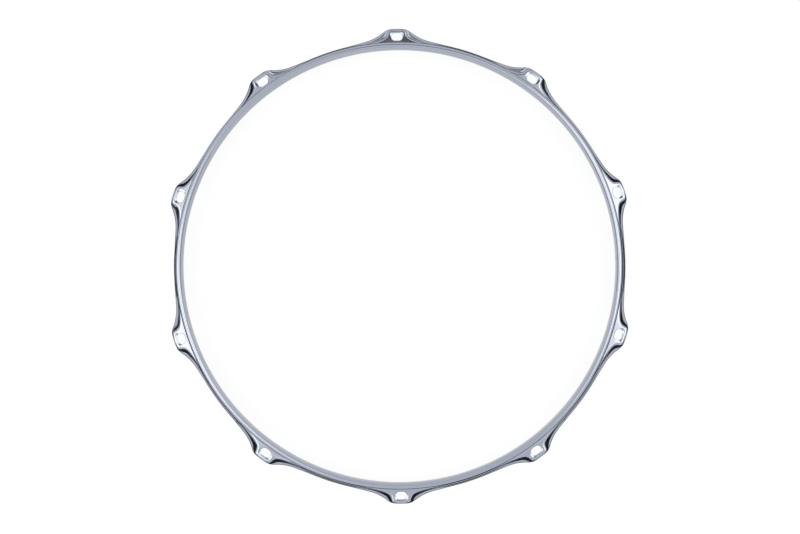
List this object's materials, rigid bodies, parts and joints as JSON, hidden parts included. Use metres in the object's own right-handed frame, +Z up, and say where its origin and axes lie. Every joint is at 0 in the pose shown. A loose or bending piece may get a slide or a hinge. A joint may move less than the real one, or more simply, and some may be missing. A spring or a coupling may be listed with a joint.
{
  "type": "drum hoop",
  "caption": "Triple-flanged drum counter hoop: a round chromed ring with a rolled lip, a seat flange and raised ears with oval tension rod holes.",
  "frame": {"origin": "centre of the ring, on the plane that the foot flange lies on", "axes": "+Z up through the ring towards the lip; an ear lies on +Y and one on -Y"},
  "size_m": [0.383, 0.397, 0.034],
  "materials": {
    "chrome": "bright chrome plating on pressed steel, polished on the lip and ears",
    "weld_metal": "ground weld bead under the same plating, a little rougher"
  },
  "bodies": {
    "root": {"collar": "chrome", "ear_01": "chrome", "ear_02": "chrome", "ear_03": "chrome", "ear_04": "chrome", "ear_05": "chrome", "ear_06": "chrome", "ear_07": "chrome", "ear_08": "chrome", "ear_09": "chrome", "ear_10": "chrome", "weld_seam": "weld_metal"}
  },
  "joints": []
}
